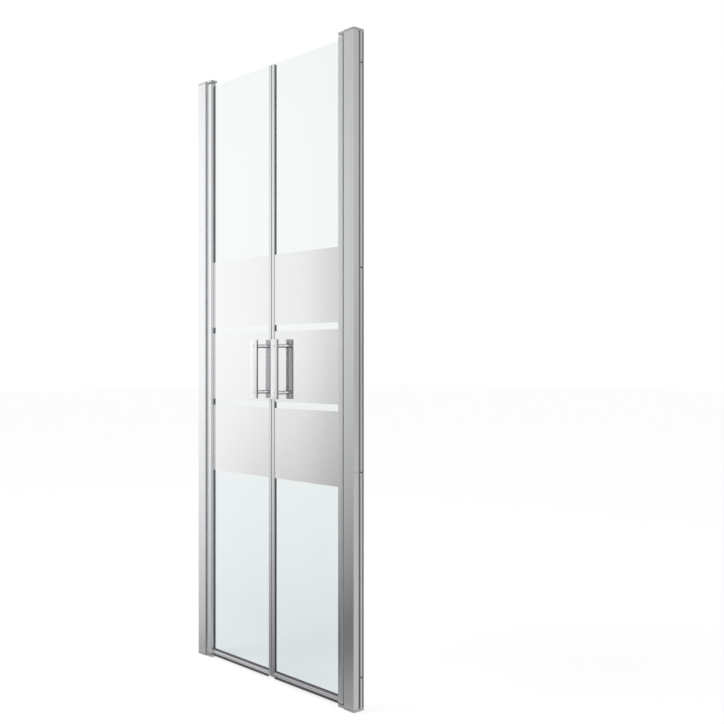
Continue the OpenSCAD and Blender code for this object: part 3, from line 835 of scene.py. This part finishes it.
class DOOR_OT_handle_posts(bpy.types.Operator):
    """Model the handle posts: turned, with a chamfer at the bar and a fine groove at the washer."""
    bl_idname = "shower_door.handle_posts"
    bl_label = "Handle posts"

    def execute(self, context):
        shape, look = context.scene.door_shape, context.scene.door_finish
        low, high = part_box("right_handle_posts")
        x, _, z = middle_of("right_front_handle_bar")
        posts = []
        for foot, head in ((-POST_FEET[0], low[1]), (POST_FEET[1], high[1])):
            post = turned("post", post_section(shape.post / 2, foot, head))
            post.data.transform(Matrix.Translation((x, 0, z - shape.pitch / 2)))
            posts += [post, copy_of(post, "post_above", up=shape.pitch)]
        four = joined(posts, "posts")
        material = finish_of("handle_post_chrome", polished_chrome(
            look.chrome, look.chrome_gloss))
        for side, across in MIRRORED:
            fitted(copy_of(four, f"{side}_posts", across), side, "handle_posts", material)
        bpy.data.objects.remove(four)
        return {"FINISHED"}


class DOOR_OT_handle_finish(bpy.types.Operator):
    """Finish the washers, studs and screws of the handles."""
    bl_idname = "shower_door.handle_finish"
    bl_label = "Handle finish"

    def execute(self, context):
        look = context.scene.door_finish
        dress(("handle_washers",), finish_of(
            "washer_plastic", moulded_plastic(look.plastic, gloss=0.4)))
        dress(("handle_screws", "handle_studs"), finish_of(
            "handle_steel", turned_steel(look.steel, gloss=0.2)))
        return {"FINISHED"}


# Brightness of the studio cove round the room, from 0 (+X) over 0.25 (+Y) to 1, at HEAD_HEIGHT
# and at the floor
COVE_HIGH = ((0.0, 0.575), (0.17, 0.575), (0.42, 0.8), (0.5, 1.0), (0.545, 1.6), (0.576, 1.05),
             (0.585, 1.03), (0.612, 0.95), (0.64, 0.7), (0.66, 0.46), (0.69, 0.42), (0.73, 0.6),
             (0.8, 0.64), (0.855, 0.88), (0.92, 0.95), (0.975, 0.58), (1.0, 0.575))
COVE_LOW = ((0.0, 0.58), (0.2, 0.58), (0.42, 0.6), (0.5, 0.62), (0.54, 0.72), (0.56, 0.88),
            (0.576, 0.76), (0.6, 0.54), (0.635, 0.32), (0.652, 0.18), (0.672, 0.155),
            (0.72, 0.28), (0.76, 0.42), (0.8, 0.44), (0.86, 0.55), (0.92, 0.6), (0.975, 0.58),
            (1.0, 0.58))
HEAD_HEIGHT = 1.15
# Heights between which the cove gets a little darker towards its top
COVE_TOP = (1.8, 2.6)
# The dark stand: its place round the room and half its width, its height and half its length
STAND_PLACE = (0.117, 0.02)
STAND_HEIGHT = (0.98, 0.35)


class DOOR_OT_studio(bpy.types.Operator):
    """Camera, pale floor, soft lamp, white world and the cove that the metal reflects."""
    bl_idname = "shower_door.studio"
    bl_label = "Studio"

    def execute(self, context):
        studio = context.scene.door_studio
        self._camera(context, studio)
        self._world(context, studio)
        self._floor(studio)
        self._cove(studio)
        self._lamp(studio)
        return {"FINISHED"}

    @staticmethod
    def _camera(context, studio):
        bpy.ops.object.camera_add(location=studio.place,
                                  rotation=(math.radians(90), 0, studio.turn))
        camera = context.object
        camera.name = "photo_camera"
        camera.data.lens = studio.lens
        camera.data.sensor_width = 36
        camera.data.shift_x = studio.shift_x
        camera.data.shift_y = studio.shift_y
        context.scene.camera = camera

    @staticmethod
    def _seen(s):
        """1 for rays that show the background: camera, glossy and transmission rays."""
        path = s.node("ShaderNodeLightPath").outputs
        rays = [Number(s, path[f"Is {kind} Ray"]) for kind in ("Camera", "Glossy", "Transmission")]
        return rays[0].highest(rays[1]).highest(rays[2])

    def _world(self, context, studio):
        world = bpy.data.worlds.new("white_studio")
        world.use_nodes = True
        s = Shader(world.node_tree)
        seen = self._seen(s)
        s.show(s.node("ShaderNodeBackground", inputs={
            "Color": (1, 1, 1, 1), "Strength": seen * (1 - studio.daylight) + studio.daylight}),
            "ShaderNodeOutputWorld")
        context.scene.world = world

    def _floor(self, studio):
        bpy.ops.mesh.primitive_plane_add(size=studio.floor_size, location=(0, 0, 0))
        floor = bpy.context.object
        floor.name = "studio_floor"

        def build(s):
            paint = s.node("ShaderNodeBsdfDiffuse", inputs={"Color": (*studio.floor, 1)})
            white = s.node("ShaderNodeEmission", inputs={"Color": (1, 1, 1, 1),
                                                         "Strength": studio.white})
            s.show(s.mixed(self._seen(s) * studio.lift, paint, white))
        floor.data.materials.append(finish_of("studio_floor", build))

    @staticmethod
    def _cove(studio):
        """A round room that only reflections see, its floor 1 mm above the studio's."""
        reach, height = studio.cove_reach, studio.cove_height
        bpy.ops.mesh.primitive_circle_add(vertices=96, radius=reach, fill_type="NGON",
                                          location=(0, 0, 0.001))
        cove = bpy.context.object
        cove.name = "studio_cove"
        bpy.ops.object.mode_set(mode="EDIT")
        bpy.ops.mesh.select_all(action="SELECT")
        bpy.ops.mesh.extrude_region_move(TRANSFORM_OT_translate={"value": (0, 0, height)})
        bpy.ops.mesh.delete(type="ONLY_FACE")
        bpy.ops.object.mode_set(mode="OBJECT")
        for vertex in cove.data.vertices:
            vertex.select = vertex.co.z < height / 2
        bpy.ops.object.mode_set(mode="EDIT")
        bpy.ops.mesh.edge_face_add()
        bpy.ops.object.mode_set(mode="OBJECT")
        bpy.ops.object.transform_apply(location=True)

        def build(s):
            x, y, z = s.axes(s.place())
            turn = s.number("ShaderNodeMath", {"operation": "ARCTAN2"}, {0: y, 1: x})
            share = s.number("ShaderNodeMath", {"operation": "FRACT"},
                             {0: turn / math.tau + 1.0})
            high, low = (s.number("ShaderNodeRGBToBW", inputs={
                "Color": s.node("ShaderNodeValToRGB", {"stops": stops}, {"Fac": share}).outputs[0]})
                for stops in (COVE_HIGH, COVE_LOW))
            # The tone rises fast from the floor on the left and more evenly to the right.
            speed = 1.8 - share.span(0.575, 0.61) * 0.3 - share.span(0.61, 0.66) * 0.4
            rise = 1 - (1 - (z / HEAD_HEIGHT).held()) ** speed
            top = 1 - z.span(*COVE_TOP) * 0.12
            # In front of the door the floor gets darker towards the door's foot.
            near = 1 - ((x * x + y * y) ** 0.5 / reach).held()
            away = 1 - near * 0.5 * (y * -20.0).held()
            tone = (low * away * (1 - rise) + high * rise) * top
            # A dark stand at the handles' height, which the sides of the bars show.
            stand = share.near(*STAND_PLACE) * z.near(*STAND_HEIGHT)
            s.show(s.node("ShaderNodeEmission", inputs={"Color": tone * (1 - stand * 0.85)}))
        cove.data.materials.append(finish_of("studio_cove", build))
        for ray in ("camera", "diffuse", "transmission", "volume_scatter", "shadow"):
            setattr(cove, f"visible_{ray}", False)

    @staticmethod
    def _lamp(studio):
        place = Vector(studio.softbox_place)
        aim = (Vector(studio.softbox_aim) - place).to_track_quat("-Z", "Y").to_euler()
        bpy.ops.object.light_add(type="AREA", location=place, rotation=aim)
        lamp = bpy.context.object
        lamp.name = "softbox"
        lamp.data.shape = "RECTANGLE"
        lamp.data.size = studio.softbox_width
        lamp.data.size_y = studio.softbox_depth
        lamp.data.energy = studio.softbox
        lamp.visible_glossy = False


class DOOR_PT_panel(bpy.types.Panel):
    """Settings and steps of the shower door."""
    bl_idname = "DOOR_PT_panel"
    bl_label = "Shower door"
    bl_space_type = "VIEW_3D"
    bl_region_type = "UI"
    bl_category = "Shower door"

    def draw(self, context):
        layout = self.layout
        for name in ("door_shape", "door_finish", "door_studio"):
            group = getattr(context.scene, name)
            box = layout.box()
            for key in group.__annotations__:
                box.prop(group, key)
        for step in STEPS:
            layout.operator(step.bl_idname)


STEPS = (DOOR_OT_frame_finish, DOOR_OT_leaf_finish, DOOR_OT_pane_finish, DOOR_OT_edges,
         DOOR_OT_mirror_bands, DOOR_OT_bottom_rails, DOOR_OT_handle_bars, DOOR_OT_handle_posts,
         DOOR_OT_handle_finish, DOOR_OT_studio)
CLASSES = (DoorShape, DoorFinish, DoorStudio, *STEPS, DOOR_PT_panel)


def register():
    for item in CLASSES:
        bpy.utils.register_class(item)
    bpy.types.Scene.door_shape = PointerProperty(type=DoorShape)
    bpy.types.Scene.door_finish = PointerProperty(type=DoorFinish)
    bpy.types.Scene.door_studio = PointerProperty(type=DoorStudio)


def unregister():
    del bpy.types.Scene.door_studio
    del bpy.types.Scene.door_finish
    del bpy.types.Scene.door_shape
    for item in reversed(CLASSES):
        bpy.utils.unregister_class(item)


def main():
    """Registers the add-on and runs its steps."""
    register()
    bpy.context.scene.view_settings.view_transform = "Standard"
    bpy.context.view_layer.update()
    for step in STEPS:
        area, name = step.bl_idname.split(".")
        getattr(getattr(bpy.ops, area), name)()


if __name__ == "__main__":
    main()
